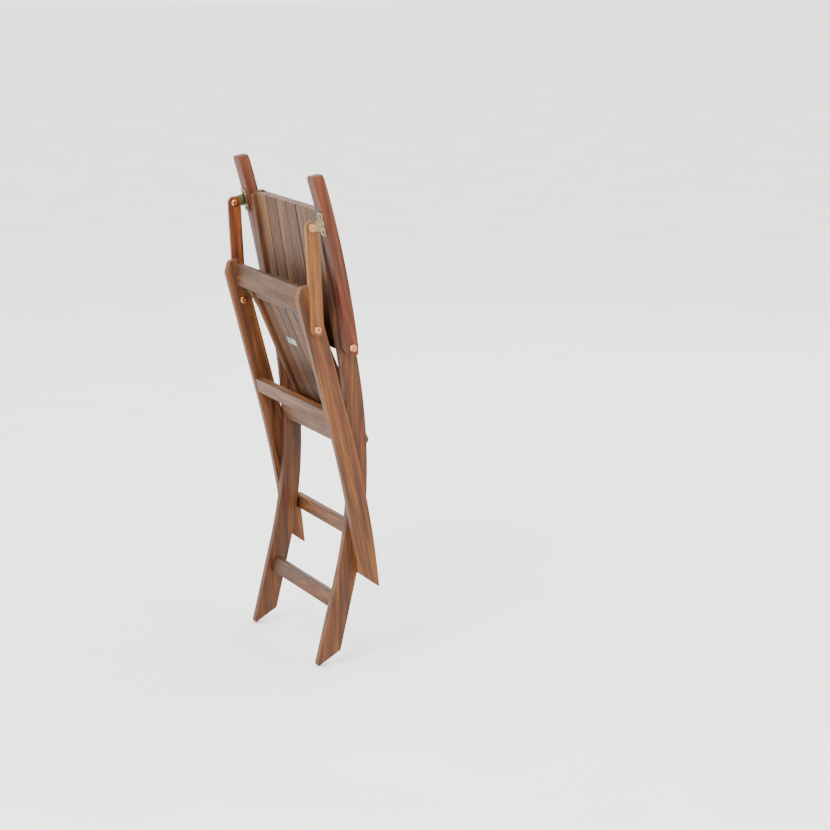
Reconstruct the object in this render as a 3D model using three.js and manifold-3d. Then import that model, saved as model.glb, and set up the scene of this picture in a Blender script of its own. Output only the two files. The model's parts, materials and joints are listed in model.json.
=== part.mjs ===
// Folding garden armchair in oiled hardwood, shown folded flat against itself.
// Millimetres, +Z up, +X to the sitter's left, the chair faces -Y.
// The origin is at the middle of the bottom of the folded chair's box.
import * as THREE from 'three';
import { mergeVertices } from 'three/addons/utils/BufferGeometryUtils.js';
import Module from 'manifold-3d';

const wasm = await Module();
wasm.setup();

// ---------- driving dimensions ----------
// Widths, across the chair.
const backInnerWidth = 413; // between the inner faces of the two back legs
const boardThickness = 22; // every leg board
const frameGap = 7; // back leg to rear leg
const jointGap = 0.3; // two pieces that are fixed face to face
const washerGap = 1.5; // two boards that turn against each other

// Back legs: front foot, long bend, upright.
const backLeg = {
  footWidth: 47, topWidth: 38, lowerRun: 449, upperRun: 627, lowerLean: 13.3, upperLean: -9.4,
  bendBelow: 235, bendAbove: 272, soleAngle: 32,
};
// Rear legs: rear foot, gentle bend, top under the seat's front edge.
const rearLeg = {
  footWidth: 47, topWidth: 45, lowerRun: 188, upperRun: 533, lowerLean: -5.7, upperLean: -14.7,
  bendBelow: 165, bendAbove: 208, soleAngle: -35.5,
};
const rearFoot = new THREE.Vector2(118, 181); // foot centre when folded, from the front toe
const topRounding = 8;
const soleMargin = 6; // a leg's edge starts again this far above its sole's cut
const rearTopChamfer = { down: 26, across: 14 };

// Rails across the frames: height on their leg, board size, setback from the leg's front edge.
const railThickness = 20;
const backRailThickness = 16;
const backTopRail = { height: 62, belowTop: 3 };
const backLowerRail = { height: 52, at: 747 };
const frontStretcher = { height: 36, at: 143 };
const rearTopRail = { height: 52, fromTop: 35.3, offset: 6.9, thickness: 16 };
const rearMiddleRail = { height: 36, at: 585, thickness: 18, setback: 0.5 };
const rearLowRail = { height: 36, at: 292, thickness: 16, behindBackLegs: 1.5 };

// Back slats, upright on the front of the back's two rails.
const backSlats = { count: 6, thickness: 12, gap: 5, setback: 7, lowEnd: 733, belowTop: 1 };

// Seat: two side rails, slats between them, a front batten under the slats and a rear batten under the rails.
const seat = {
  width: 370, railThickness: 20, railDepth: 24, frontOverhang: 12, rearOverhang: 46, slatThickness: 14,
  lugTaper: 38, slatGap: 5, slatCount: 6, battenDepth: 9, battenLength: 22,
};
const seatLean = 23; // the seat's slope from upright when folded
const seatPivotRise = 6.1; // front pivot above the underside of the side rails
const lugRadius = 12; // the side rails' round ends about the front pivot
const rearBatten = { ahead: 27, behind: 45, drop: 36, chamfer: 17 };

// Pivots: height when folded, and offset to the rear of the leg's centre line.
const seatRearPivot = { height: 534.2, offset: -9.8 };
const armPivot = { height: 743.3, offset: -1.6 };
const guidePin = { height: 356.7, offset: 5.2 };
const seatFrontPivot = { fromTop: 73.2, offset: 15.2 };
const strutPivot = { fromTop: 95.8, offset: 0.8 };

// Folding: the seat's turn from folded to open, and what the rear frame turns back on the seat.
const seatTurn = 98.7;
const rearFrameRatio = -0.3161;

// Struts and arms.
const strut = { length: 230.3, lean: 3, width: 30, thickness: 13 };
const arm = {
  width: 44.5, thickness: 26, rearOverhang: 22, length: 420, bow: 9, pivotDrop: 35.2, noseRadius: 15,
};
const bracket = {
  length: 54, width: 30, plate: 2.5, tabRadius: 11, tabFoot: 3, tabGap: 0.3, screwSpacing: 36, screwInset: 12,
};

// Round hardware.
const boltRadius = 4;
const boltHeadRadius = 9;
const boltHeadHeight = 4.5;
const capBoreDepth = 3; // blind hole of a bolt's domed cap
const capBoltEnd = 2.5; // how far a bolt's end runs into its cap
const runningClearance = 0.3;
const pinRadius = 4;
const overrun = 5; // how far a hole's cutter runs past the face it opens
const seatPinReach = 36; // how far the seat's rear pins run into the rear batten
const hingePinCover = 6; // wood left over the outer end of the seat's front hinge pins
const hingePinInset = 3; // from the side rail's inner face to the hinge pin's end
const pinEndGap = 2; // hollow past the end of a blind pin
const armBoltInset = 1; // from the leg's inner face to the end of the arm's bolt
const pinCover = 4; // wood left over the end of a blind pin
const guidePinSeat = 8; // from the leg's inner face to the foot of the guide pin
const groove = { depth: 9, clearance: 1, floorGap: 1.5 };
const strutHoleClearance = 3; // play of the strut's lower bolt in the rear leg
const spacerRadius = 7;
const washer = { radius: 10, thickness: 1 };
const screwRadius = 4;
const screwHeadHeight = 1.6;
const screwShank = screwRadius * 0.6;
const screwTip = 0.2; // how far a screw's end passes the flange's top
const label = { width: 60, height: 17, thickness: 0.8, fromCentre: -53, along: -43 };

// ---------- places worked out from them ----------
const degrees = Math.PI / 180;
const backInner = backInnerWidth / 2;
const backOuter = backInner + boardThickness;
const rearInner = backOuter + frameGap;
const rearOuter = rearInner + boardThickness;
const strutInner = rearOuter + washerGap / 2;
const strutOuter = strutInner + strut.thickness;
const guidePinEnd = rearInner + groove.depth - groove.floorGap;
const armInner = backOuter + washerGap;
const armOuter = armInner + arm.width;
const washerPlay = (washerGap - washer.thickness) / 2;
const strutCapFace = strutInner - jointGap;
const footCapFace = rearInner - jointGap;

const upward = (lean) => new THREE.Vector2(Math.sin(lean * degrees), Math.cos(lean * degrees));
const rearward = (direction) => new THREE.Vector2(direction.y, -direction.x);
const along = (start, direction, distance) => start.clone().addScaledVector(direction, distance);

// A bent leg's centre line, foot first, with the leg's width and its direction at each point.
function legLine(leg, foot) {
  const lower = upward(leg.lowerLean);
  const upper = upward(leg.upperLean);
  const corner = along(foot, lower, leg.lowerRun);
  const top = along(corner, upper, leg.upperRun);
  const bendStart = along(corner, lower, -leg.bendBelow);
  const bendEnd = along(corner, upper, leg.bendAbove);
  const bend = new THREE.QuadraticBezierCurve(bendStart, corner, bendEnd);
  const bendPoints = bend.getPoints(14);
  const points = [foot, ...bendPoints, top];
  const directions = [lower, ...bendPoints.map((_, i) => bend.getTangent(i / 14)), upper];
  const widthAt = (height) => THREE.MathUtils.mapLinear(height, foot.y, top.y, leg.footWidth, leg.topWidth);
  return { points, directions, widthAt, top, foot, lower, upper };
}

// The centre of a leg at a height, with its direction there.
function legAt(line, height) {
  const last = line.points.length - 1;
  let i = line.points.findIndex((point) => point.y > height);
  i = i < 1 ? last : i;
  const t = THREE.MathUtils.inverseLerp(line.points[i - 1].y, line.points[i].y, height);
  const centre = line.points[i - 1].clone().lerp(line.points[i], t);
  const direction = line.directions[i - 1].clone().lerp(line.directions[i], t).normalize();
  return { centre, direction, width: line.widthAt(height) };
}

function onLeg(line, height, offset) {
  const { centre, direction } = legAt(line, height);
  return along(centre, rearward(direction), offset);
}

const backFootCentre = rearward(upward(backLeg.lowerLean)).multiplyScalar(backLeg.footWidth / 2);
const backLine = legLine(backLeg, backFootCentre);
const rearLine = legLine(rearLeg, rearFoot);
const rearTopHeight = rearLine.top.y;

const seatRear = onLeg(backLine, seatRearPivot.height, seatRearPivot.offset);
const armJoint = onLeg(backLine, armPivot.height, armPivot.offset);
const pin = onLeg(backLine, guidePin.height, guidePin.offset);
const seatFront = onLeg(rearLine, rearTopHeight - seatFrontPivot.fromTop, seatFrontPivot.offset);
const strutFoot = onLeg(rearLine, rearTopHeight - strutPivot.fromTop, strutPivot.offset);
const strutHead = along(strutFoot, upward(-strut.lean), strut.length);

// The seat's own frame: u runs rearward along it from the front pivot, n runs from its underside to its top.
const seatRearward = new THREE.Vector2(Math.sin(seatLean * degrees), -Math.cos(seatLean * degrees));
const seatUp = new THREE.Vector2(Math.cos(seatLean * degrees), Math.sin(seatLean * degrees));
const onSeat = (u, n) => along(along(seatFront, seatRearward, u), seatUp, n - seatPivotRise);
const seatRearU = seatRear.clone().sub(seatFront).dot(seatRearward);
const seatEndU = seatRearU + seat.rearOverhang;

// ---------- shape helpers ----------
// Turns a side outline (rearward, up) into a solid between two places across the chair.
const sideways = new THREE.Matrix4().makeBasis(
  new THREE.Vector3(0, 1, 0), new THREE.Vector3(0, 0, 1), new THREE.Vector3(1, 0, 0),
);

function board(outline, xFrom, xTo) {
  const shape = outline instanceof THREE.Shape ? outline : new THREE.Shape(outline);
  const geometry = new THREE.ExtrudeGeometry(shape, {
    depth: Math.abs(xTo - xFrom), bevelEnabled: false, curveSegments: 10,
  });
  geometry.applyMatrix4(sideways);
  return geometry.translate(Math.min(xFrom, xTo), 0, 0);
}

// A straight bar across the chair: half length, thickness and height, at a place, with a lean.
function bar(centre, lean, halfLength, thickness, height) {
  const geometry = new THREE.BoxGeometry(2 * halfLength, thickness, height);
  geometry.rotateX(-lean * degrees);
  return geometry.translate(0, centre.x, centre.y);
}

// A round solid across the chair, from its profile of [radius, distance] pairs.
function turned(profile, place, xFrom, side, segments = 24) {
  const geometry = new THREE.LatheGeometry(profile.map(([r, d]) => new THREE.Vector2(r, d)), segments);
  geometry.rotateZ(-side * 90 * degrees);
  return geometry.translate(xFrom, place.x, place.y);
}

const rod = (radius, place, xFrom, xTo, segments = 24) => turned(
  [[0, 0], [radius, 0], [radius, Math.abs(xTo - xFrom)], [0, Math.abs(xTo - xFrom)]],
  place, xFrom, Math.sign(xTo - xFrom), segments,
);

// A domed bolt whose shank starts at xEnd and whose head sits on the face at xFace.
function bolt(place, xEnd, xFace, radius = boltRadius) {
  const side = Math.sign(xFace - xEnd);
  const shank = Math.abs(xFace - xEnd) + jointGap;
  return turned([
    [0, 0], [radius, 0], [radius, shank], [boltHeadRadius, shank],
    [boltHeadRadius, shank + boltHeadHeight * 0.35], [boltHeadRadius * 0.78, shank + boltHeadHeight * 0.8],
    [boltHeadRadius * 0.4, shank + boltHeadHeight], [0, shank + boltHeadHeight],
  ], place, xEnd, side);
}

function ring(innerRadius, outerRadius, place, xFrom, xTo) {
  const length = Math.abs(xTo - xFrom);
  return turned([
    [innerRadius, 0], [outerRadius, 0], [outerRadius, length], [innerRadius, length], [innerRadius, 0],
  ], place, xFrom, Math.sign(xTo - xFrom));
}

function toSolid(geometry) {
  const bare = geometry.clone();
  bare.deleteAttribute('normal');
  bare.deleteAttribute('uv');
  const merged = mergeVertices(bare, 1e-4);
  return new wasm.Manifold(new wasm.Mesh({
    numProp: 3,
    vertProperties: Float32Array.from(merged.attributes.position.array),
    triVerts: Uint32Array.from(merged.index.array),
  }));
}

function toGeometry(solid) {
  const { vertProperties, triVerts } = solid.getMesh();
  const geometry = new THREE.BufferGeometry();
  geometry.setAttribute('position', new THREE.BufferAttribute(vertProperties, 3));
  geometry.setIndex(new THREE.BufferAttribute(triVerts, 1));
  geometry.computeVertexNormals();
  return geometry;
}

const cut = (geometry, ...tools) => toGeometry(
  tools.reduce((solid, tool) => solid.subtract(toSolid(tool)), toSolid(geometry)),
);

// Where a straight edge through a point meets the sole.
function meetSole(point, direction, soleStart, soleDirection) {
  const offset = soleStart.clone().sub(point);
  const cross = direction.cross(soleDirection);
  return along(point, direction, offset.cross(soleDirection) / cross);
}

// ---------- legs ----------
function legOutline(line, leg, topCorners) {
  const edge = (side) => line.points.map((point, i) => along(
    point, rearward(line.directions[i]), side * line.widthAt(point.y) / 2,
  ));
  const front = edge(-1);
  const rear = edge(1);
  const toe = leg.soleAngle > 0 ? front[0] : rear[0];
  const soleTilt = leg.soleAngle * degrees;
  const soleDirection = new THREE.Vector2(Math.cos(soleTilt), Math.sin(soleTilt));
  const soleUp = new THREE.Vector2(-soleDirection.y, soleDirection.x);
  const fromSole = ([start, ...others]) => [
    meetSole(start, line.lower, toe, soleDirection),
    ...others.filter((point) => point.clone().sub(toe).dot(soleUp) > soleMargin),
  ];
  const across = rearward(line.upper);
  const frontTop = front.pop();
  const rearTop = rear.pop();
  const corner = (point, cutDown, cutAcross, side) => [
    along(point, line.upper, -cutDown), along(point, across, -side * cutAcross),
  ];
  const frontCorner = corner(frontTop, topCorners.frontDown, topCorners.frontAcross, -1);
  const rearCorner = corner(rearTop, topRounding, topRounding, 1).reverse();
  return [...fromSole(front), ...frontCorner, ...rearCorner, ...fromSole(rear).reverse()].reverse();
}

function backLegBoard(side) {
  const corners = { frontDown: topRounding, frontAcross: topRounding };
  const blank = board(legOutline(backLine, backLeg, corners), side * backInner, side * backOuter);
  const through = (place, radius) => rod(radius, place, side * (backInner - overrun), side * (backOuter + overrun));
  return cut(
    blank,
    rod(boltRadius + runningClearance, seatRear, side * (backInner - overrun), side * (backOuter - pinCover + jointGap)),
    through(armJoint, boltRadius + runningClearance),
    rod(pinRadius + jointGap, pin, side * (backInner + guidePinSeat), side * (backOuter + overrun)),
  );
}

// The guide pin's path in the rear leg: it goes round the seat's pivots as the chair opens.
function groovePath(steps = 12) {
  const path = [];
  for (let i = 0; i <= steps; i += 1) {
    const turn = (seatTurn * degrees * i) / steps;
    const hinge = seatFront.clone().rotateAround(seatRear, turn);
    const back = pin.clone().rotateAround(hinge, -turn * (1 + rearFrameRatio));
    path.push(back.sub(hinge).add(seatFront));
  }
  return path;
}

function grooveOutline() {
  const path = groovePath();
  const half = pinRadius + groove.clearance;
  const tangent = (i) => {
    const next = path[Math.min(i + 1, path.length - 1)];
    return next.clone().sub(path[Math.max(i - 1, 0)]).normalize();
  };
  const shape = new THREE.Shape();
  const left = path.map((point, i) => along(point, rearward(tangent(i)), -half));
  const right = path.map((point, i) => along(point, rearward(tangent(i)), half));
  const end = path.length - 1;
  const cap = (centre, from) => Array.from({ length: 7 }, (_, i) => {
    const angle = from - (Math.PI * (i + 1)) / 8;
    return new THREE.Vector2(centre.x + half * Math.cos(angle), centre.y + half * Math.sin(angle));
  });
  const angleOf = (vector) => Math.atan2(vector.y, vector.x);
  const points = [
    ...left, ...cap(path[end], angleOf(left[end].clone().sub(path[end]))),
    ...right.reverse(), ...cap(path[0], angleOf(right[end].clone().sub(path[0]))),
  ];
  shape.setFromPoints(points.reverse());
  return shape;
}

function rearLegBoard(side) {
  const corners = { frontDown: rearTopChamfer.down, frontAcross: rearTopChamfer.across };
  const blank = board(legOutline(rearLine, rearLeg, corners), side * rearInner, side * rearOuter);
  const strutHole = boltRadius + strutHoleClearance;
  return cut(
    blank,
    board(grooveOutline(), side * (rearInner - 5), side * (rearInner + groove.depth)),
    rod(boltRadius + jointGap, seatFront, side * (rearInner - overrun), side * (rearOuter - hingePinCover)),
    rod(strutHole, strutFoot, side * (rearInner - 5), side * (rearOuter + overrun)),
  );
}

// ---------- rails and slats of the two frames ----------
const flushLean = (line, height) => {
  const { direction } = legAt(line, height);
  return Math.atan2(direction.x, direction.y) / degrees;
};

// The slats lie in front of the back's rails. Both are set in from the front edge of the legs.
const slatMiddle = (backSlats.lowEnd + backLine.top.y) / 2;
const slatOffset = -legAt(backLine, slatMiddle).width / 2 + backSlats.setback + backSlats.thickness / 2;
const backRailOffset = slatOffset + (backSlats.thickness + backRailThickness) / 2 + jointGap;

function backTop() {
  const { height, belowTop } = backTopRail;
  const place = onLeg(backLine, backLine.top.y - belowTop - height / 2, backRailOffset);
  return bar(place, backLeg.upperLean, backInner - jointGap, backRailThickness, height);
}

function backLower() {
  const { height, at } = backLowerRail;
  const place = onLeg(backLine, at, backRailOffset);
  return bar(place, backLeg.upperLean, backInner - jointGap, backRailThickness, height);
}

function stretcher() {
  const place = onLeg(backLine, frontStretcher.at, 0);
  const lean = flushLean(backLine, frontStretcher.at);
  return bar(place, lean, backInner - jointGap, railThickness, frontStretcher.height);
}

// The top rail stands upright behind the legs' front edges when the chair is folded.
function rearTop() {
  const { height, fromTop, offset, thickness } = rearTopRail;
  const place = onLeg(rearLine, rearTopHeight - fromTop, offset);
  return bar(place, 0, rearInner - jointGap, thickness, height);
}

function rearMiddle() {
  const { at, thickness, height, setback } = rearMiddleRail;
  const inset = setback + (thickness - legAt(rearLine, at).width) / 2;
  const place = onLeg(rearLine, at, inset);
  return bar(place, flushLean(rearLine, at), rearInner - jointGap, thickness, height);
}

// The low rail passes behind the back legs when the chair is folded.
function rearLow() {
  const { at, height, thickness, behindBackLegs } = rearLowRail;
  const lean = flushLean(rearLine, at);
  const backOfLegs = Math.max(...[-0.5, 0, 0.5].map((share) => {
    const legHeight = at + share * height;
    return onLeg(backLine, legHeight, legAt(backLine, legHeight).width / 2).x;
  }));
  const leanedHalf = Math.abs(Math.sin(lean * degrees)) * (height / 2);
  const place = new THREE.Vector2(backOfLegs + behindBackLegs + thickness / 2 + leanedHalf, at);
  return bar(place, lean, rearInner - jointGap, thickness, height);
}

function backSlat(index) {
  const { count, thickness, gap, lowEnd, belowTop } = backSlats;
  const pitch = (backInnerWidth - gap) / count;
  const x = -backInner + (gap + pitch) / 2 + index * pitch;
  const topPlace = onLeg(backLine, backLine.top.y - belowTop, slatOffset);
  const lowPlace = onLeg(backLine, lowEnd, slatOffset);
  const middle = topPlace.clone().add(lowPlace).multiplyScalar(0.5);
  const geometry = new THREE.BoxGeometry(pitch - gap, thickness, topPlace.distanceTo(lowPlace));
  geometry.rotateX(-backLeg.upperLean * degrees);
  return geometry.translate(x, middle.x, middle.y);
}

// ---------- seat ----------
const railOuter = seat.width / 2;
const railInner = railOuter - seat.railThickness;
const battenEnd = backInner - washerGap;

function seatSideRail(side) {
  const depth = seat.railDepth;
  const nose = seat.frontOverhang;
  const outline = [onSeat(seat.lugTaper, 0), onSeat(seatEndU - 6, 0), onSeat(seatEndU, 6)];
  outline.push(onSeat(seatEndU, depth - 6), onSeat(seatEndU - 6, depth));
  outline.push(onSeat(-nose / 2, depth), onSeat(-nose, depth - nose / 2));
  const lugSteps = 8;
  for (let i = 0; i <= lugSteps; i += 1) {
    const angle = Math.PI * (1 + (0.5 * i) / lugSteps);
    outline.push(onSeat(lugRadius * Math.cos(angle), seatPivotRise + lugRadius * Math.sin(angle)));
  }
  const blank = board(outline, side * railInner, side * railOuter);
  const holeRadius = boltRadius + runningClearance;
  return cut(blank, rod(holeRadius, seatFront, side * (railInner - overrun), side * (railOuter + overrun)));
}

function seatSlat(index) {
  const inner = railInner - jointGap;
  const pitch = (2 * inner + seat.slatGap) / seat.slatCount;
  const width = pitch - seat.slatGap;
  const x = -inner + width / 2 + index * pitch;
  const depth = seat.railDepth;
  const low = depth - seat.slatThickness;
  const front = -seat.frontOverhang;
  const outline = [onSeat(front, low), onSeat(seatEndU, low), onSeat(seatEndU, depth), onSeat(front, depth)];
  return board(outline, x - width / 2, x + width / 2);
}

// The front batten joins the side rails at their pivots, under the ends of the slats.
function seatFrontBatten() {
  const top = seat.railDepth - seat.slatThickness - jointGap;
  const low = top - seat.battenDepth;
  const start = -seat.battenLength / 2;
  const end = seat.battenLength / 2;
  const outline = [onSeat(start, low), onSeat(end, low), onSeat(end, top), onSeat(start, top)];
  return board(outline, -railInner + jointGap, railInner - jointGap);
}

function seatRearBatten() {
  const { ahead, behind, drop, chamfer } = rearBatten;
  const top = -jointGap;
  const start = seatRearU - ahead;
  const end = seatRearU + behind;
  const outline = [
    onSeat(start, top), onSeat(start, -drop + 8), onSeat(start + 8, -drop),
    onSeat(end - chamfer, -drop), onSeat(end, -drop + chamfer), onSeat(end, top),
  ];
  const blank = board(outline, -battenEnd, battenEnd);
  const hole = (side) => rod(
    boltRadius + runningClearance, seatRear, side * (battenEnd + overrun), side * (battenEnd - seatPinReach - pinEndGap),
  );
  return cut(blank, hole(1), hole(-1));
}

function seatLabel() {
  const under = seat.railDepth - seat.slatThickness - jointGap;
  const start = seatRearU * 0.5 + label.along;
  const outline = [
    onSeat(start, under - label.thickness), onSeat(start + label.height, under - label.thickness),
    onSeat(start + label.height, under), onSeat(start, under),
  ];
  return board(outline, label.fromCentre - label.width / 2, label.fromCentre + label.width / 2);
}

// ---------- arms, brackets and struts ----------
// The arm's frame: forward from its pivot, and down towards its underside.
const armReach = strutHead.clone().sub(armJoint);
const armSag = Math.asin(arm.pivotDrop / armReach.length());
const armForward = armReach.clone().normalize().rotateAround(new THREE.Vector2(), -armSag);
const armDown = new THREE.Vector2(-armForward.y, armForward.x);
const armPlace = (forward, down) => along(along(armJoint, armForward, forward), armDown, down);
const armBow = (forward) => -4 * arm.bow * (forward / arm.length) * (1 - forward / arm.length);
const strutStation = armReach.dot(armForward);

function armBoard(side) {
  const steps = 12;
  const front = arm.length - arm.rearOverhang;
  const stations = Array.from({ length: steps + 1 }, (_, i) => (front * i) / steps);
  const half = arm.thickness / 2;
  const under = stations.map((s) => armPlace(s, armBow(s) + half));
  const over = stations.map((s) => armPlace(s, armBow(s) - half)).reverse();
  const heel = [0.25, 0.5, 0.75].map((t) => {
    const angle = Math.PI * (0.5 + t);
    return armPlace(arm.rearOverhang * Math.cos(angle), -half * Math.sin(-angle));
  });
  const outline = [...under, ...over, ...heel.reverse()];
  const blank = board(outline.reverse(), side * armInner, side * armOuter);
  const hole = rod(boltRadius + runningClearance, armJoint, side * (armInner - overrun), side * (armOuter + overrun));
  const noseCorner = (edge) => {
    const corner = new THREE.Shape();
    const r = arm.noseRadius;
    corner.moveTo(-1, -1);
    corner.lineTo(r, -1);
    corner.absarc(r, r, r, -Math.PI / 2, -Math.PI, true);
    corner.lineTo(-1, r);
    const wedge = new THREE.ExtrudeGeometry(corner, {
      depth: 4 * arm.thickness, bevelEnabled: false, curveSegments: 6,
    });
    const across = new THREE.Vector3(edge, 0, 0);
    const backward = new THREE.Vector3(0, -armForward.x, -armForward.y);
    const through = new THREE.Vector3().crossVectors(across, backward);
    wedge.applyMatrix4(new THREE.Matrix4().makeBasis(across, backward, through));
    const start = armPlace(front, armBow(front));
    const shift = through.clone().multiplyScalar(-2 * arm.thickness);
    const faces = [side * armInner, side * armOuter];
    const x = edge > 0 ? Math.min(...faces) : Math.max(...faces);
    return wedge.translate(x + shift.x, start.x + shift.y, start.y + shift.z);
  };
  return cut(blank, hole, noseCorner(1), noseCorner(-1));
}

// A tee bracket: a flange screwed to the arm's underside and a tab for the strut's bolt.
const tabInner = strutOuter + bracket.tabGap;
const tabOuter = tabInner + bracket.plate;
const flangeInner = tabOuter - bracket.width;
const flangeEnds = [-1, 0, 1].map((end) => strutStation + (end * bracket.length) / 2);
const flangeTop = Math.max(...flangeEnds.map(armBow)) + arm.thickness / 2 + jointGap;

function bracketPiece(side) {
  const half = bracket.length / 2;
  const flangeLow = flangeTop + bracket.plate;
  const flange = board([
    armPlace(strutStation - half, flangeTop), armPlace(strutStation + half, flangeTop),
    armPlace(strutStation + half, flangeLow), armPlace(strutStation - half, flangeLow),
  ].reverse(), side * flangeInner, side * tabOuter);
  const tab = new THREE.Shape();
  const rootHalf = bracket.tabRadius + bracket.tabFoot;
  const centre = armPlace(strutStation, arm.pivotDrop);
  const rootDown = flangeTop + bracket.plate / 2;
  const points = [armPlace(strutStation + rootHalf, rootDown), armPlace(strutStation - rootHalf, rootDown)];
  for (let i = 0; i <= 10; i += 1) {
    const angle = Math.PI * (1 - i / 10);
    const forward = bracket.tabRadius * Math.cos(angle);
    const down = bracket.tabRadius * Math.sin(angle);
    points.push(centre.clone().addScaledVector(armForward, forward).addScaledVector(armDown, down));
  }
  tab.setFromPoints(points);
  const tabSolid = toSolid(board(tab, side * tabInner, side * tabOuter));
  const holeRadius = boltRadius + runningClearance;
  const hole = toSolid(rod(holeRadius, strutHead, side * (tabInner - overrun), side * (tabOuter + overrun)));
  const screwHoles = [-1, 1].map((end) => toSolid(screwBlank(side, end, screwShank + runningClearance)));
  let solid = toSolid(flange).add(tabSolid).subtract(hole);
  for (const screwHole of screwHoles) solid = solid.subtract(screwHole);
  return toGeometry(solid);
}

// Screws stand on the flange, one at each end, beside the tab.
const screwX = tabInner - bracket.screwInset;
function acrossArm(geometry, side, end, down) {
  const direction = new THREE.Vector3(0, armDown.x, armDown.y);
  geometry.applyQuaternion(new THREE.Quaternion().setFromUnitVectors(new THREE.Vector3(0, 1, 0), direction));
  const place = armPlace(strutStation + (end * bracket.screwSpacing) / 2, down);
  return geometry.translate(side * screwX, place.x, place.y);
}

function screwBlank(side, end, radius) {
  return acrossArm(new THREE.CylinderGeometry(radius, radius, 3 * bracket.plate, 16), side, end, flangeTop);
}

function bracketScrew(side, end) {
  const low = flangeTop + bracket.plate + jointGap;
  const profile = [
    [0, -bracket.plate - screwTip], [screwShank, -bracket.plate - screwTip], [screwShank, 0], [screwRadius, 0],
    [screwRadius * 0.8, screwHeadHeight * 0.7], [screwRadius * 0.35, screwHeadHeight], [0, screwHeadHeight],
  ];
  const geometry = new THREE.LatheGeometry(profile.map(([r, d]) => new THREE.Vector2(r, d)), 16);
  return acrossArm(geometry, side, end, low);
}

function strutBoard(side) {
  const direction = upward(-strut.lean);
  const across = rearward(direction);
  const outline = [];
  for (const [centre, start] of [[strutHead, 0], [strutFoot, Math.PI]]) {
    for (let i = 0; i <= 10; i += 1) {
      const angle = start + (Math.PI * i) / 10;
      const radius = strut.width / 2;
      const edge = along(centre, across, radius * Math.cos(angle));
      outline.push(along(edge, direction, radius * Math.sin(angle)));
    }
  }
  const blank = board(outline, side * strutInner, side * strutOuter);
  const through = (place, radius) => rod(radius, place, side * (strutInner - overrun), side * (strutOuter + overrun));
  return cut(
    blank, through(strutHead, boltRadius + runningClearance), through(strutFoot, boltRadius + jointGap),
  );
}

// A domed cap with a blind hole, screwed on the end of a bolt.
function capNut(place, xFace, side) {
  const bore = boltRadius + jointGap;
  return turned([
    [0, capBoreDepth], [bore, capBoreDepth], [bore, 0], [boltHeadRadius, 0],
    [boltHeadRadius, boltHeadHeight * 0.35], [boltHeadRadius * 0.78, boltHeadHeight * 0.8],
    [boltHeadRadius * 0.4, boltHeadHeight], [0, boltHeadHeight],
  ], place, xFace, side);
}

// ---------- finishes ----------
const acacia = new THREE.MeshStandardMaterial({ color: 0x7e5736, roughness: 0.6, metalness: 0 });
const lightAcacia = new THREE.MeshStandardMaterial({ color: 0xa77a50, roughness: 0.6, metalness: 0 });
const zincSteel = new THREE.MeshStandardMaterial({ color: 0x9b9678, roughness: 0.4, metalness: 0.9 });
const brassPlate = new THREE.MeshStandardMaterial({ color: 0xc9a27c, roughness: 0.35, metalness: 0.9 });
const labelPlate = new THREE.MeshStandardMaterial({ color: 0xa9aca6, roughness: 0.4, metalness: 0.8 });

// ---------- assembly ----------
const group = new THREE.Group();

function add(name, geometry, material) {
  const mesh = new THREE.Mesh(geometry, material);
  mesh.name = name;
  group.add(mesh);
}

for (const [word, side] of [['left', 1], ['right', -1]]) {
  add(`back_leg_${word}`, backLegBoard(side), acacia);
  add(`guide_pin_${word}`, rod(
    pinRadius, pin, side * (backInner + guidePinSeat + jointGap), side * guidePinEnd,
  ), zincSteel);
  add(`seat_pivot_pin_${word}`, rod(
    boltRadius, seatRear, side * (battenEnd - seatPinReach), side * (backOuter - pinCover),
  ), zincSteel);
  add(`arm_pivot_bolt_${word}`, bolt(armJoint, side * (backInner + armBoltInset), side * armOuter), brassPlate);
  add(`arm_washer_${word}`, ring(
    boltRadius + jointGap, washer.radius, armJoint,
    side * (backOuter + washerPlay), side * (armInner - washerPlay),
  ), zincSteel);

  add(`rear_leg_${word}`, rearLegBoard(side), acacia);
  add(`seat_hinge_pin_${word}`, rod(
    boltRadius, seatFront, side * (railInner + hingePinInset), side * (rearOuter - hingePinCover - jointGap),
  ), zincSteel);
  add(`hinge_spacer_${word}`, ring(
    boltRadius + jointGap, spacerRadius, seatFront, side * (railOuter + 0.6), side * (rearInner - jointGap),
  ), zincSteel);

  add(`seat_rail_${word}`, seatSideRail(side), acacia);

  add(`armrest_${word}`, armBoard(side), acacia);
  add(`arm_bracket_${word}`, bracketPiece(side), zincSteel);
  add(`bracket_screw_front_${word}`, bracketScrew(side, 1), zincSteel);
  add(`bracket_screw_rear_${word}`, bracketScrew(side, -1), zincSteel);

  add(`strut_${word}`, strutBoard(side), lightAcacia);
  add(`strut_top_bolt_${word}`, bolt(strutHead, side * (strutCapFace - capBoltEnd), side * tabOuter), brassPlate);
  add(`strut_top_cap_${word}`, capNut(strutHead, side * strutCapFace, -side), brassPlate);
  add(`strut_foot_bolt_${word}`, bolt(strutFoot, side * (footCapFace - capBoltEnd), side * strutOuter), brassPlate);
  add(`strut_foot_cap_${word}`, capNut(strutFoot, side * footCapFace, -side), brassPlate);
}

add('back_top_rail', backTop(), acacia);
add('back_lower_rail', backLower(), acacia);
add('front_stretcher', stretcher(), acacia);
for (let i = 0; i < backSlats.count; i += 1) add(`back_slat_${i + 1}`, backSlat(i), acacia);

add('rear_top_rail', rearTop(), acacia);
add('rear_middle_rail', rearMiddle(), acacia);
add('rear_low_rail', rearLow(), acacia);

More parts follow.
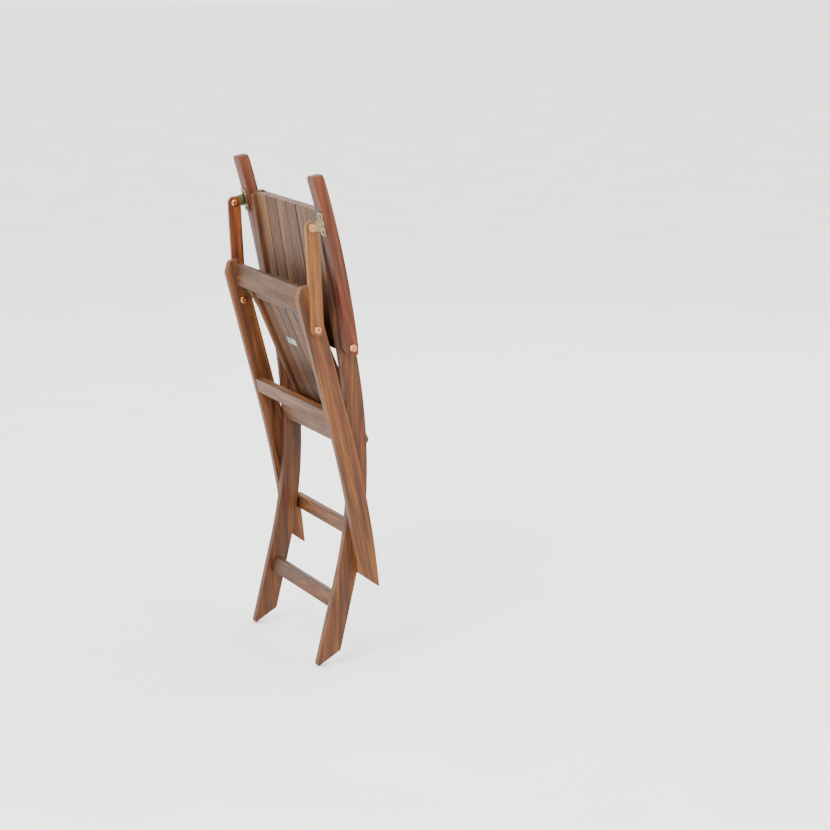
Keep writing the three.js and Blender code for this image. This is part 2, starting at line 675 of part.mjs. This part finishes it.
add('seat_front_batten', seatFrontBatten(), acacia);
add('seat_rear_batten', seatRearBatten(), acacia);
for (let i = 0; i < seat.slatCount; i += 1) add(`seat_slat_${i + 1}`, seatSlat(i), acacia);
add('seat_label', seatLabel(), labelPlate);

// The origin goes to the middle of the bottom of the whole chair.
const box = new THREE.Box3().setFromObject(group);
group.position.set(0, -(box.min.y + box.max.y) / 2, -box.min.z);

export default group;
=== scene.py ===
# Folding garden armchair in oiled acacia, folded flat.
# Every board, bolt and bracket of the frame gets its finished shape and material here.
import json
import math
import random

import bmesh
import bpy
import numpy as np
from mathutils import Matrix, Vector


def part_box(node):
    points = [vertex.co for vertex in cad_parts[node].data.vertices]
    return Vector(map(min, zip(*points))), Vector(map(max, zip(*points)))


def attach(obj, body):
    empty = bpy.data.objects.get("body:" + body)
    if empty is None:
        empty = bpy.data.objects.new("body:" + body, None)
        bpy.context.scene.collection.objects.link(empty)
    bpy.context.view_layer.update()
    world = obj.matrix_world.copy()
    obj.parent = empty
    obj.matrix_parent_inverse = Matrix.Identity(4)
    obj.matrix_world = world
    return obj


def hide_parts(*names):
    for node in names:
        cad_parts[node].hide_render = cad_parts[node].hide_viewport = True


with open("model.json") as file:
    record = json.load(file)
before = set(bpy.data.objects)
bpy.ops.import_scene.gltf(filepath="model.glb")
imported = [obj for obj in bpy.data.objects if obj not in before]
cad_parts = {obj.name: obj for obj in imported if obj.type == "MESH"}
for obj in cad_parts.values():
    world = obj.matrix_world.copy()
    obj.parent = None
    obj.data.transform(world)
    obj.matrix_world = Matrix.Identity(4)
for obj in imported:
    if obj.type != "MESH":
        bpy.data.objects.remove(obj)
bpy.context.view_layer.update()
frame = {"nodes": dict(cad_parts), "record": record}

MM = 0.001
BODIES = frame["record"]["behaviour"]["bodies"]
BODY_OF = {part: body for body, parts in BODIES.items() for part in parts}
SIDES = {"left": 1, "right": -1}
BACK_SLATS = [f"back_slat_{i}" for i in range(1, 7)]
SEAT_SLATS = [f"seat_slat_{i}" for i in range(1, 7)]

# Angles between faces, in degrees: a board's edges, its corners, and creases on turned metal.
EDGE_ANGLE = 30
CORNER_ANGLE = 48
TURNED_CREASE = 35

# Round hardware, in metres.
SHANK = 4 * MM
HEAD = 9 * MM
HEAD_HEIGHT = 4.5 * MM
SOCKET = 2.6 * MM
WASHER = 10 * MM
SPACER = 7 * MM
SCREW_RADIUS = 3.5 * MM
SCREW_STEP = 1.2 * MM  # from the middle of a bracket screw to its head's face
BRACKET_SCREW_SCALE = 1.15
SLAT_SCREW_SCALE = 0.85


# ---------- small helpers ----------
def srgb(hex_code):
    """An sRGB hex colour as linear red, green, blue and alpha."""
    channels = [int(hex_code[i:i + 2], 16) / 255 for i in (1, 3, 5)]
    linear = [c / 12.92 if c <= 0.04045 else ((c + 0.055) / 1.055) ** 2.4 for c in channels]
    return (*linear, 1.0)


def node(tree, kind, links=None, **settings):
    """Adds a node with its settings, and links or sets its inputs."""
    made = tree.nodes.new(kind)
    for name, value in settings.items():
        setattr(made, name, value)
    for socket, value in (links or {}).items():
        if isinstance(value, bpy.types.NodeSocket):
            tree.links.new(value, made.inputs[socket])
        else:
            made.inputs[socket].default_value = value
    return made


def ramp(tree, factor, stops):
    """A colour ramp through (position, hex colour) stops."""
    made = node(tree, "ShaderNodeValToRGB", {0: factor})
    elements = made.color_ramp.elements
    while len(elements) < len(stops):
        elements.new(0.5)
    for element, (position, colour) in zip(elements, stops):
        element.position = position
        element.color = srgb(colour)
    return made.outputs["Color"]


def mix(tree, factor, first, second, how="MIX"):
    """Two colours blended by a factor."""
    made = node(tree, "ShaderNodeMix", {0: factor}, data_type="RGBA", blend_type=how)
    for socket, value in ((6, first), (7, second)):
        if isinstance(value, bpy.types.NodeSocket):
            tree.links.new(value, made.inputs[socket])
        else:
            made.inputs[socket].default_value = value
    return made.outputs[2]


def part_of(tree, mask, share):
    """A mask at part of its strength."""
    return node(tree, "ShaderNodeMath", {0: mask, 1: share}, operation="MULTIPLY").outputs[0]


def new_material(name, **constants):
    """A material whose shader has these constants on its own sockets."""
    material = bpy.data.materials.new(name)
    material.use_nodes = True
    shader = material.node_tree.nodes["Principled BSDF"]
    for socket, value in constants.items():
        shader.inputs[socket.replace("_", " ")].default_value = value
    return material, material.node_tree, shader


# ---------- wood ----------
def oiled_acacia(name, dark, middle, light, red, yellow, tone_range):
    """Oiled acacia, planed and sanded: brown with reddish and straw streaks under a dull sheen of oil."""
    material, tree, shader = new_material(name, IOR=1.47, Metallic=0.0, Specular_IOR_Level=0.3)
    grain = node(tree, "ShaderNodeAttribute", attribute_name="grain").outputs["Vector"]
    tone = node(tree, "ShaderNodeAttribute", attribute_name="tone").outputs["Fac"]
    end = node(tree, "ShaderNodeAttribute", attribute_name="end_grain").outputs["Fac"]

    def streaks(across_mm, along_mm, **inputs):
        scale = (1 / (across_mm * MM), 1 / (across_mm * MM), 1 / (along_mm * MM))
        place = node(tree, "ShaderNodeVectorMath", {0: grain, 1: scale}, operation="MULTIPLY")
        settings = {"Vector": place.outputs[0], "Scale": 1.0, "Detail": 3.0, "Roughness": 0.55}
        settings.update(inputs)
        return node(tree, "ShaderNodeTexNoise", settings).outputs["Fac"]

    def between(value, low, high):
        links = {"Value": value, "From Min": low, "From Max": high}
        return node(tree, "ShaderNodeMapRange", links, interpolation_type="SMOOTHSTEP").outputs[0]

    # Broad bands 14 mm wide, then fibres as fine lines 3 mm wide.
    figure = streaks(14, 230, Detail=4.0, Distortion=0.5)
    colour = ramp(tree, between(figure, 0.25, 0.75), [(0.0, dark), (0.5, middle), (1.0, light)])
    fibres = streaks(3, 150, Detail=5.0, Roughness=0.7)
    fibre_shades = [(0.0, "#8f8a84"), (0.6, "#c4bfb8"), (1.0, "#f0ebe2")]
    fibre_tint = ramp(tree, between(fibres, 0.3, 0.7), fibre_shades)
    colour = mix(tree, 0.62, colour, fibre_tint, "MULTIPLY")

    # Growth rings 7 mm apart round a pith outside the board. Their lines wander along the board.
    ring_step = 7 * MM
    ring_wander = 26 * MM
    wander = streaks(40, 260, Detail=2.0)
    flat = node(tree, "ShaderNodeVectorMath", {0: grain, 1: (1.0, 1.0, 0.0)}, operation="MULTIPLY")
    radius = node(tree, "ShaderNodeVectorMath", {0: flat.outputs[0]}, operation="LENGTH").outputs["Value"]
    bend = {0: wander, 1: ring_wander, 2: radius}
    bent = node(tree, "ShaderNodeMath", bend, operation="MULTIPLY_ADD").outputs[0]
    wave = node(tree, "ShaderNodeMath", {0: part_of(tree, bent, 2 * math.pi / ring_step)}, operation="SINE")
    rings = between(wave.outputs[0], 0.35, 1.0)
    colour = mix(tree, part_of(tree, rings, 0.34), colour, srgb(dark))

    # Reddish heartwood patches and straw-coloured sapwood streaks.
    reds = between(streaks(20, 170, Detail=3.0, Distortion=0.8), 0.52, 0.72)
    colour = mix(tree, part_of(tree, reds, 0.55), colour, srgb(red))
    straws = between(streaks(9, 210, Detail=2.0, Distortion=0.4), 0.60, 0.74)
    colour = mix(tree, part_of(tree, straws, 0.5), colour, srgb(yellow))

    # Pores are 0.2 mm wide in the real wood, and are drawn 1.2 mm wide so that they show.
    pores = between(streaks(1.2, 22, Detail=2.0, Roughness=0.5), 0.60, 0.70)
    colour = mix(tree, part_of(tree, pores, 0.35), colour, srgb("#3a2618"))

    # Boards differ in tone, and end grain drinks more oil, so it is darker.
    board = ramp(tree, tone, [(0.0, tone_range[0]), (1.0, tone_range[1])])
    colour = mix(tree, 1.0, colour, board, "MULTIPLY")
    colour = mix(tree, part_of(tree, end, 0.55), colour, srgb("#5a3c28"))
    tree.links.new(colour, shader.inputs["Base Color"])

    # The oil is patchy, and pores are dull.
    patch = streaks(30, 90, Detail=2.0)
    sheen = node(tree, "ShaderNodeMapRange", {"Value": patch, "To Min": 0.46, "To Max": 0.66}).outputs[0]
    dull = node(tree, "ShaderNodeMath", {0: pores, 1: 0.2, 2: sheen}, operation="MULTIPLY_ADD").outputs[0]
    tree.links.new(dull, shader.inputs["Roughness"])
    relief = node(tree, "ShaderNodeMath", {0: fibres, 1: pores}, operation="SUBTRACT").outputs[0]
    bump = node(tree, "ShaderNodeBump", {"Height": relief, "Strength": 0.3, "Distance": 0.2 * MM})
    tree.links.new(bump.outputs[0], shader.inputs["Normal"])
    return material


WOOD = {
    # Middle brown.
    "oiled": oiled_acacia("oiled_acacia", "#3f2210", "#623a1a", "#825222", "#6c2e1c", "#8a6228",
                          ("#c4b8ac", "#ffffff")),
    # Reddish brown heartwood.
    "red": oiled_acacia("red_heartwood_acacia", "#42200f", "#683118", "#8a4a1e", "#741f16", "#8c5a1e",
                        ("#c4b8ac", "#ffffff")),
    # Orange-brown.
    "orange": oiled_acacia("orange_acacia", "#482610", "#70401a", "#90581f", "#6c321c", "#8c6424",
                           ("#c4b8ac", "#ffffff")),
    # Light tan sapwood.
    "pale": oiled_acacia("pale_acacia", "#5e3818", "#835426", "#a37032", "#864a26", "#a67a34",
                         ("#c4b8ac", "#ffffff")),
    # Dark brown, with a slightly greyer cast.
    "dark": oiled_acacia("dark_acacia", "#38210f", "#57371c", "#724c26", "#5c2e1a", "#745a28",
                         ("#c8bcb0", "#ffffff")),
}


# ---------- metal ----------
def plated_steel(name, tint, shade, roughness, smudge_mm):
    """Thin plating on steel: bright, with soft cloudy stains and fine rubbing marks."""
    material, tree, shader = new_material(name, Metallic=1.0)
    place = node(tree, "ShaderNodeTexCoord").outputs["Object"]

    def noise(size_mm, detail):
        links = {"Vector": place, "Scale": 1 / (size_mm * MM), "Detail": detail}
        return node(tree, "ShaderNodeTexNoise", links).outputs["Fac"]

    cloud = noise(smudge_mm, 4.0)
    tree.links.new(ramp(tree, cloud, [(0.3, shade), (0.7, tint)]), shader.inputs["Base Color"])
    stained = roughness + 0.14
    wear = {"Value": cloud, "From Min": 0.3, "From Max": 0.7, "To Min": stained, "To Max": roughness}
    worn = node(tree, "ShaderNodeMapRange", wear)
    tree.links.new(worn.outputs[0], shader.inputs["Roughness"])
    rubbed = noise(0.8, 2.0)
    bump = node(tree, "ShaderNodeBump", {"Height": rubbed, "Strength": 0.15, "Distance": 0.05 * MM})
    tree.links.new(bump.outputs[0], shader.inputs["Normal"])
    return material


METAL = {
    # Yellow passivated zinc: dull straw-coloured steel with faint clouds.
    "zinc_steel": plated_steel("yellow_zinc_plated_steel", "#857d60", "#5a553c", 0.38, 6),
    # Copper plating on domed bolts: bright, warm and smooth.
    "copper_plated_steel": plated_steel("copper_plated_steel", "#cc8c60", "#8c5838", 0.24, 5),
    # Rolled aluminium plate: satin grey, plain.
    "label_plate": plated_steel("satin_aluminium_plate", "#a4a8a4", "#7f847f", 0.4, 9),
}


# ---------- boards ----------
def sharp_edges(mesh, angle_deg):
    """The edges whose two faces turn by more than an angle."""
    limit = math.radians(angle_deg)
    return [e for e in mesh.edges if len(e.link_faces) == 2 and e.calc_face_angle(0) > limit]


def outline_edges(edges):
    """The edges of the connected group that reaches furthest: a board's outline without its holes."""
    group = {}

    def root(vertex):
        while group.setdefault(vertex, vertex) != vertex:
            vertex = group[vertex]
        return vertex

    for edge in edges:
        group[root(edge.verts[0])] = root(edge.verts[1])
    groups = {}
    for edge in edges:
        groups.setdefault(root(edge.verts[0]), []).append(edge)

    def reach(members):
        points = np.array([v.co for e in members for v in e.verts])
        return float(np.linalg.norm(points.max(0) - points.min(0)))

    return max(groups.values(), key=reach)


def runs_across(edge):
    """Whether an edge runs straight across the chair."""
    return abs((edge.verts[0].co - edge.verts[1].co).normalized().x) > 0.99


def rounded_copy(node_name, round_mm, corner_mm=0.0, segments=3):
    """A copy of a CAD solid as clean faces, with its outline edges rounded over and its corners eased."""
    mesh = bmesh.new()
    mesh.from_mesh(frame["nodes"][node_name].data)
    bmesh.ops.remove_doubles(mesh, verts=mesh.verts, dist=0.02 * MM)
    bmesh.ops.dissolve_limit(mesh, angle_limit=math.radians(0.4), verts=mesh.verts, edges=mesh.edges)
    if corner_mm:
        corners = [e for e in sharp_edges(mesh, CORNER_ANGLE) if runs_across(e)]
        bmesh.ops.bevel(mesh, geom=corners, offset=corner_mm * MM, segments=5, profile=0.5,
                        affect="EDGES", clamp_overlap=False)
    mesh.edges.index_update()
    chosen = {e.index for e in outline_edges(sharp_edges(mesh, EDGE_ANGLE))}
    weight = mesh.edges.layers.float.new("bevel_weight_edge")
    for edge in mesh.edges:
        edge[weight] = 1.0 if edge.index in chosen else 0.0
    for face in mesh.faces:
        face.smooth = True
    for edge in sharp_edges(mesh, EDGE_ANGLE):
        edge.smooth = edge.index in chosen
    piece = linked(node_name + "_finished", plain_mesh(node_name + "_rounded", mesh))
    bevel = piece.modifiers.new("round_over", "BEVEL")
    bevel.limit_method = "WEIGHT"
    bevel.width = round_mm * MM
    bevel.segments = segments
    bevel.harden_normals = True
    return applied(piece)


def plain_mesh(name, mesh):
    """A bmesh written to a mesh, and freed."""
    data = bpy.data.meshes.new(name)
    mesh.to_mesh(data)
    mesh.free()
    return data


def linked(name, data):
    """A new object in the scene, at the origin."""
    made = bpy.data.objects.new(name, data)
    bpy.context.scene.collection.objects.link(made)
    return made


def stand_in(piece, node_name, material):
    """Gives a piece its material, and puts it in the place of a CAD node on the node's body."""
    piece.data.materials.clear()
    piece.data.materials.append(material)
    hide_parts(node_name)
    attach(piece, BODY_OF[node_name])


def applied(piece):
    """Turns a piece's modifiers into its plain mesh."""
    graph = bpy.context.evaluated_depsgraph_get()
    final = bpy.data.meshes.new_from_object(piece.evaluated_get(graph), depsgraph=graph)
    piece.modifiers.clear()
    old = piece.data
    piece.data = final
    final.name = piece.name
    bpy.data.meshes.remove(old)
    return piece


def positions(data):
    """A mesh's vertices as rows."""
    points = np.zeros(len(data.vertices) * 3, np.float32)
    data.vertices.foreach_get("co", points)
    return points.reshape(-1, 3).astype(float)


def float_attribute(data, name, kind, domain, values):
    """Writes an attribute of numbers or vectors on a mesh."""
    attribute = data.attributes.new(name, kind, domain)
    key = "vector" if kind == "FLOAT_VECTOR" else "value"
    attribute.data.foreach_set(key, np.asarray(values, np.float32).ravel())


def set_grain(piece, seed):
    """Writes a board's place in its log, its tone and its end grain as attributes for the wood."""
    draw = random.Random(seed)
    points = positions(piece.data)
    centre = (points.min(0) + points.max(0)) / 2
    _, _, axes = np.linalg.svd(points - points.mean(0), full_matrices=False)
    length, width, thickness = axes
    local = (points - centre) @ np.stack([thickness, width, length], 1)
    turn = draw.uniform(0, 2 * math.pi)
    pith = draw.uniform(35, 95) * MM
    offset = np.array([pith * math.cos(turn), pith * math.sin(turn), draw.uniform(0, 9)])
    float_attribute(piece.data, "grain", "FLOAT_VECTOR", "POINT", local + offset)
    float_attribute(piece.data, "tone", "FLOAT", "POINT", np.full(len(points), draw.random()))
    normals = np.array([p.normal for p in piece.data.polygons])
    float_attribute(piece.data, "end_grain", "FLOAT", "FACE", np.abs(normals @ length) > 0.8)


def finish_board(node_name, wood, seed, round_mm, corner_mm=0.0):
    """A wooden part, rounded over and cut from its own place in a log."""
    piece = rounded_copy(node_name, round_mm, corner_mm)
    set_grain(piece, seed)
    stand_in(piece, node_name, WOOD[wood])


# ---------- turned hardware ----------
REACH = {
    "round": lambda angle: 1,
    "hex": lambda angle: 1 / math.cos((angle + math.pi / 6) % (math.pi / 3) - math.pi / 6),
    "star": lambda angle: 1 + 0.16 * math.cos(6 * angle),
}


def turned_mesh(name, profile, segments=48):
    """A round solid about +Z from (radius, height, shape) rows. A shape is round, hex or star."""
    mesh = bmesh.new()
    rings = []
    for radius, height, shape in profile:
        if radius == 0:
            rings.append([mesh.verts.new((0, 0, height))])
            continue
        ring = []
        for i in range(segments):
            angle = 2 * math.pi * i / segments
            reach = radius * REACH[shape](angle)
            ring.append(mesh.verts.new((reach * math.cos(angle), reach * math.sin(angle), height)))
        rings.append(ring)
    for low, high in zip(rings, rings[1:]):
        for i in range(segments):
            j = (i + 1) % segments
            if len(low) == 1:
                mesh.faces.new((low[0], high[j], high[i]))
            elif len(high) == 1:
                mesh.faces.new((low[i], low[j], high[0]))
            else:
                mesh.faces.new((low[i], low[j], high[j], high[i]))
    if len(rings[0]) > 1 and len(rings[-1]) > 1:
        for i in range(segments):
            j = (i + 1) % segments
            mesh.faces.new((rings[-1][i], rings[-1][j], rings[0][j], rings[0][i]))
    bmesh.ops.recalc_face_normals(mesh, faces=mesh.faces)
    for face in mesh.faces:
        face.smooth = True
    for edge in sharp_edges(mesh, TURNED_CREASE):
        edge.smooth = False
    return plain_mesh(name, mesh)


def dome_profile():
    """A domed head with a rolled rim and a hexagon socket, from its underside up."""
    rim = HEAD_HEIGHT * 0.26
    lip = SOCKET * 1.35
    rows = [(0.0, 0.0, "round"), (HEAD * 0.96, 0.0, "round")]
    rows += [(HEAD, HEAD_HEIGHT * 0.12, "round"), (HEAD, rim, "round")]
    for i in range(1, 8):
        angle = i / 8 * math.pi / 2
        reach = lip + (HEAD - lip) * math.cos(angle)
        rows.append((reach, rim + (HEAD_HEIGHT - rim) * math.sin(angle), "round"))
    rows += [(SOCKET * 1.25, HEAD_HEIGHT, "round"), (SOCKET, HEAD_HEIGHT * 0.96, "hex")]
    return rows + [(SOCKET, HEAD_HEIGHT * 0.35, "hex"), (0.0, HEAD_HEIGHT * 0.3, "round")]


def length_across(node_name):
    """A CAD node's length across the chair."""
    low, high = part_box(node_name)
    return high.x - low.x


def finish_turned(node_name, profile, side, slot_name):
    """A bolt, pin or ring laid across the chair, from its inner end towards the given side."""
    low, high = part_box(node_name)
    start = Vector((low.x if side > 0 else high.x, (low.y + high.y) / 2, (low.z + high.z) / 2))
    data = turned_mesh(node_name, profile)
    data.transform(Matrix.Translation(start) @ Matrix.Rotation(math.radians(90 * side), 4, "Y"))
    stand_in(linked(node_name + "_finished", data), node_name, METAL[slot_name])


def bolt_profile(length):
    """A shank with an eased end under a domed head, from the end to the crown."""
    under = length - HEAD_HEIGHT
    rows = [(0.0, 0.0, "round"), (SHANK * 0.8, 0.0, "round")]
    rows += [(SHANK, 0.8 * MM, "round"), (SHANK, under, "round")]
    return rows + [(radius, height + under, shape) for radius, height, shape in dome_profile()[1:]]


def ring_profile(outer, length, ease=0.3 * MM):
    """A washer or tube round a bolt's shank, with eased outer edges."""
    rows = [(SHANK, 0.0), (outer - ease, 0.0), (outer, ease), (outer, length - ease)]
    rows += [(outer - ease, length), (SHANK, length)]
    return [(radius, height, "round") for radius, height in rows]


def pin_profile(length, ease=0.5 * MM):
    """A plain pin with eased ends."""
    rows = [(0.0, 0.0), (SHANK - ease, 0.0), (SHANK, ease), (SHANK, length - ease)]
    rows += [(SHANK - ease, length), (0.0, length)]
    return [(radius, height, "round") for radius, height in rows]


# ---------- screws, set out by geometry nodes ----------
def fastener_tree():
    """Instances of a head at points, turned to face each point's own direction."""
    tree = bpy.data.node_groups.new("set_out_fasteners", "GeometryNodeTree")
    interface = tree.interface
    inputs = {
        "Geometry": "Geometry", "Head": "Object", "Head Scale": "Float",
        "Turn Seed": "Int", "Finish": "Material",
    }
    for name, kind in inputs.items():
        interface.new_socket(name, in_out="INPUT", socket_type="NodeSocket" + kind)
    interface.new_socket("Geometry", in_out="OUTPUT", socket_type="NodeSocketGeometry")
    given = node(tree, "NodeGroupInput").outputs
    facing = node(tree, "GeometryNodeInputNamedAttribute", {"Name": "facing"}, data_type="FLOAT_VECTOR")
    aim = node(tree, "FunctionNodeAlignRotationToVector", {"Vector": facing.outputs[0]}, axis="Z")
    twist = node(tree, "FunctionNodeRandomValue", {2: 0.0, 3: 2 * math.pi, "Seed": given["Turn Seed"]})
    spin = node(tree, "ShaderNodeCombineXYZ", {"Z": twist.outputs[1]})
    turned = node(tree, "FunctionNodeRotateRotation",
                  {"Rotation": aim.outputs[0], "Rotate By": spin.outputs[0]}, rotation_space="LOCAL")
    head = node(tree, "GeometryNodeObjectInfo", {"Object": given["Head"]})
    placed = node(tree, "GeometryNodeInstanceOnPoints", {
        "Points": given["Geometry"], "Instance": head.outputs["Geometry"],
        "Rotation": turned.outputs[0], "Scale": given["Head Scale"],
    })
    real = node(tree, "GeometryNodeRealizeInstances", {0: placed.outputs[0]})
    coat = {"Geometry": real.outputs[0], "Material": given["Finish"]}
    coated = node(tree, "GeometryNodeSetMaterial", coat)
    node(tree, "NodeGroupOutput", {0: coated.outputs[0]})
    return tree


FASTENERS = fastener_tree()


def set_out_screws(name, places, body, seed, scale):
    """One piece with a zinc-plated screw at each (point, direction), riding on a body."""
    data = bpy.data.meshes.new(name + "_points")
    data.from_pydata([tuple(point) for point, _ in places], [], [])
    float_attribute(data, "facing", "FLOAT_VECTOR", "POINT", [tuple(direction) for _, direction in places])
    piece = linked(name, data)
    modifier = piece.modifiers.new("fasteners", "NODES")
    modifier.node_group = FASTENERS
    values = {"Head": SCREW, "Head Scale": scale, "Turn Seed": seed, "Finish": METAL["zinc_steel"]}
    for item in FASTENERS.interface.items_tree:
        if item.in_out == "INPUT" and item.name in values:
            modifier[item.identifier] = values[item.name]
    applied(piece)
    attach(piece, body)
    return piece


def screw_head():
    """A flat countersunk head, 7 mm across and 0.3 mm proud, with a six-lobed recess."""
    rows = [  # share of the radius, height in millimetres, shape
        (0.0, -1.6, "round"), (0.55, -1.6, "round"), (1.0, -0.1, "round"),
        (1.0, 0.12, "round"), (0.93, 0.3, "round"), (0.52, 0.32, "round"),
        (0.4, 0.2, "star"), (0.36, -1.0, "star"), (0.0, -1.0, "round"),
    ]
    profile = [(SCREW_RADIUS * share, height * MM, shape) for share, height, shape in rows]
    return linked("screw_template", turned_mesh("screw_template", profile, 36))


SCREW = screw_head()


def face_towards(node_name, towards):
    """The middle and the normal of a CAD solid's flat side that faces this way."""
    data = frame["nodes"][node_name].data
    aim = Vector(towards).normalized()
    facing = [p for p in data.polygons if p.normal.dot(aim) > 0.75]
    normal = sum((p.normal * p.area for p in facing), Vector()).normalized()
    points = np.array([data.vertices[i].co for p in facing for i in p.vertices])
    return Vector((points.min(0) + points.max(0)) / 2), normal


def screw_row(node_name, towards, slats):
    """A screw at the middle of each slat, in a row along the side of a rail."""
    middle, normal = face_towards(node_name, towards)
    columns = [sum(corner.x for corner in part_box(slat)) / 2 for slat in slats]
    return [(Vector((x, middle.y, middle.z)), normal) for x in columns]


# ---------- the back frame ----------
finish_board("back_leg_left", "oiled", 11, 2.6, 7)
finish_board("back_leg_right", "oiled", 12, 2.6, 7)
finish_board("back_top_rail", "dark", 13, 2.4)
finish_board("back_lower_rail", "dark", 14, 2.0)
finish_board("front_stretcher", "oiled", 15, 2.6)
for index, slat in enumerate(BACK_SLATS):
    finish_board(slat, "dark", 20 + index, 1.6)

# ---------- the seat ----------
finish_board("seat_rail_left", "oiled", 31, 2.0)
finish_board("seat_rail_right", "dark", 32, 2.0)
finish_board("seat_front_batten", "dark", 33, 1.2)
finish_board("seat_rear_batten", "dark", 34, 1.8)
for index, slat in enumerate(SEAT_SLATS):
    finish_board(slat, "dark" if index % 3 else "oiled", 40 + index, 1.6)

# ---------- the rear frame ----------
finish_board("rear_leg_left", "oiled", 51, 2.6, 5)
finish_board("rear_leg_right", "orange", 52, 2.6, 5)
finish_board("rear_top_rail", "dark", 53, 2.4)
finish_board("rear_middle_rail", "oiled", 54, 2.4)
finish_board("rear_low_rail", "oiled", 55, 2.4)

# ---------- arms and struts ----------
finish_board("armrest_left", "red", 61, 3.0, 4)
finish_board("armrest_right", "red", 62, 3.0, 4)
finish_board("strut_left", "pale", 63, 2.4)
finish_board("strut_right", "red", 64, 2.4)


def finish_plate(node_name, slot_name, round_mm):
    """A flat metal part with its outline edges broken."""
    piece = rounded_copy(node_name, round_mm, segments=2)
    stand_in(piece, node_name, METAL[slot_name])


def bracket_screws(word, seed):
    """Both bracket screws, flat against the bracket and facing out of the arm."""
    screws = [f"bracket_screw_{end}_{word}" for end in ("front", "rear")]
    front, rear = [sum(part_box(screw), Vector()) / 2 for screw in screws]
    facing = Vector((1, 0, 0)).cross(front - rear).normalized()
    facing *= -1 if facing.y > 0 else 1
    places = [(point + facing * SCREW_STEP, facing) for point in (front, rear)]
    piece = set_out_screws(f"bracket_screws_{word}", places, f"arm_{word}", seed, BRACKET_SCREW_SCALE)
    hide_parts(*screws)


for word, side in SIDES.items():
    for bolt in ("arm_pivot_bolt", "strut_top_bolt", "strut_foot_bolt"):
        name = f"{bolt}_{word}"
        finish_turned(name, bolt_profile(length_across(name)), side, "copper_plated_steel")
    for cap in ("strut_top_cap", "strut_foot_cap"):
        finish_turned(f"{cap}_{word}", dome_profile(), -side, "copper_plated_steel")
    for ring, radius in (("arm_washer", WASHER), ("hinge_spacer", SPACER)):
        name = f"{ring}_{word}"
        finish_turned(name, ring_profile(radius, length_across(name)), side, "zinc_steel")
    for pin in ("guide_pin", "seat_hinge_pin", "seat_pivot_pin"):
        name = f"{pin}_{word}"
        finish_turned(name, pin_profile(length_across(name)), side, "zinc_steel")
    finish_plate(f"arm_bracket_{word}", "zinc_steel", 0.35)
    bracket_screws(word, 70 + side)

finish_plate("seat_label", "label_plate", 0.25)

# Screws that hold the slats: in the rear of both back rails, and under the seat's rear batten.
back_screws = screw_row("back_top_rail", (0, 1, 0.2), BACK_SLATS)
back_screws += screw_row("back_lower_rail", (0, 1, 0.2), BACK_SLATS)
set_out_screws("back_slat_screws", back_screws, "back_frame", 81, SLAT_SCREW_SCALE)
seat_screws = screw_row("seat_rear_batten", (0, -1, -0.4), SEAT_SLATS)
set_out_screws("seat_slat_screws", seat_screws, "seat", 82, SLAT_SCREW_SCALE)
bpy.data.objects.remove(SCREW)


# ---------- floor, light and camera ----------
def studio_floor():
    """A pale floor of matt paper, as far as reach each way."""
    reach = 30.0
    corners = [(-reach, -reach, 0), (reach, -reach, 0), (reach, reach, 0), (-reach, reach, 0)]
    data = bpy.data.meshes.new("studio_floor")
    data.from_pydata(corners, [], [(0, 1, 2, 3)])
    floor = linked("studio_floor", data)
    material, tree, shader = new_material("matt_white_paper", Roughness=0.9, IOR=1.45)
    place = node(tree, "ShaderNodeTexCoord").outputs["Object"]
    fibre = node(tree, "ShaderNodeTexNoise", {"Vector": place, "Scale": 3.0, "Detail": 3.0}).outputs["Fac"]
    tree.links.new(ramp(tree, fibre, [(0.3, "#f2f2f2"), (0.7, "#f7f7f7")]), shader.inputs["Base Color"])
    data.materials.append(material)


def soft_light(name, place, target, size, watts, tint):
    """A large square lamp that faces a point."""
    data = bpy.data.lights.new(name, "AREA")
    data.shape = "SQUARE"
    data.size = size
    data.energy = watts
    data.color = srgb(tint)[:3]
    light = linked(name, data)
    light.location = place
    light.rotation_euler = (Vector(target) - Vector(place)).to_track_quat("-Z", "Y").to_euler()


def studio_sky(strength):
    """Even white light from all round."""
    world = bpy.data.worlds.new("studio_sky")
    world.use_nodes = True
    background = world.node_tree.nodes["Background"]
    background.inputs["Color"].default_value = srgb("#fffefb")
    background.inputs["Strength"].default_value = strength
    bpy.context.scene.world = world


def still_camera():
    """A long lens on the chair's left side, a little to the front and above."""
    right = Vector((0.3783, 0.9257, 0.0))
    up = Vector((-0.1688, 0.0690, 0.9832))
    back = Vector((0.9102, -0.3720, 0.1824))
    data = bpy.data.cameras.new("still_camera")
    data.sensor_width = 36
    data.lens = 130.12
    data.clip_end = 100
    camera = linked("still_camera", data)
    place = Matrix((right, up, back)).transposed().to_4x4()
    place.translation = Vector((6.4674, -2.35705, 1.8211))
    camera.matrix_world = place
    bpy.context.scene.camera = camera


studio_floor()
studio_sky(2.6)
soft_light("key", (3.4, -3.4, 4.6), (0, 0, 0.6), 2.2, 420, "#fffaf2")
soft_light("fill", (4.6, 2.6, 2.6), (0, 0, 0.6), 3.0, 60, "#f4f8ff")
soft_light("rim", (-3.0, 2.8, 3.6), (0, 0, 0.7), 2.4, 120, "#ffffff")
still_camera()
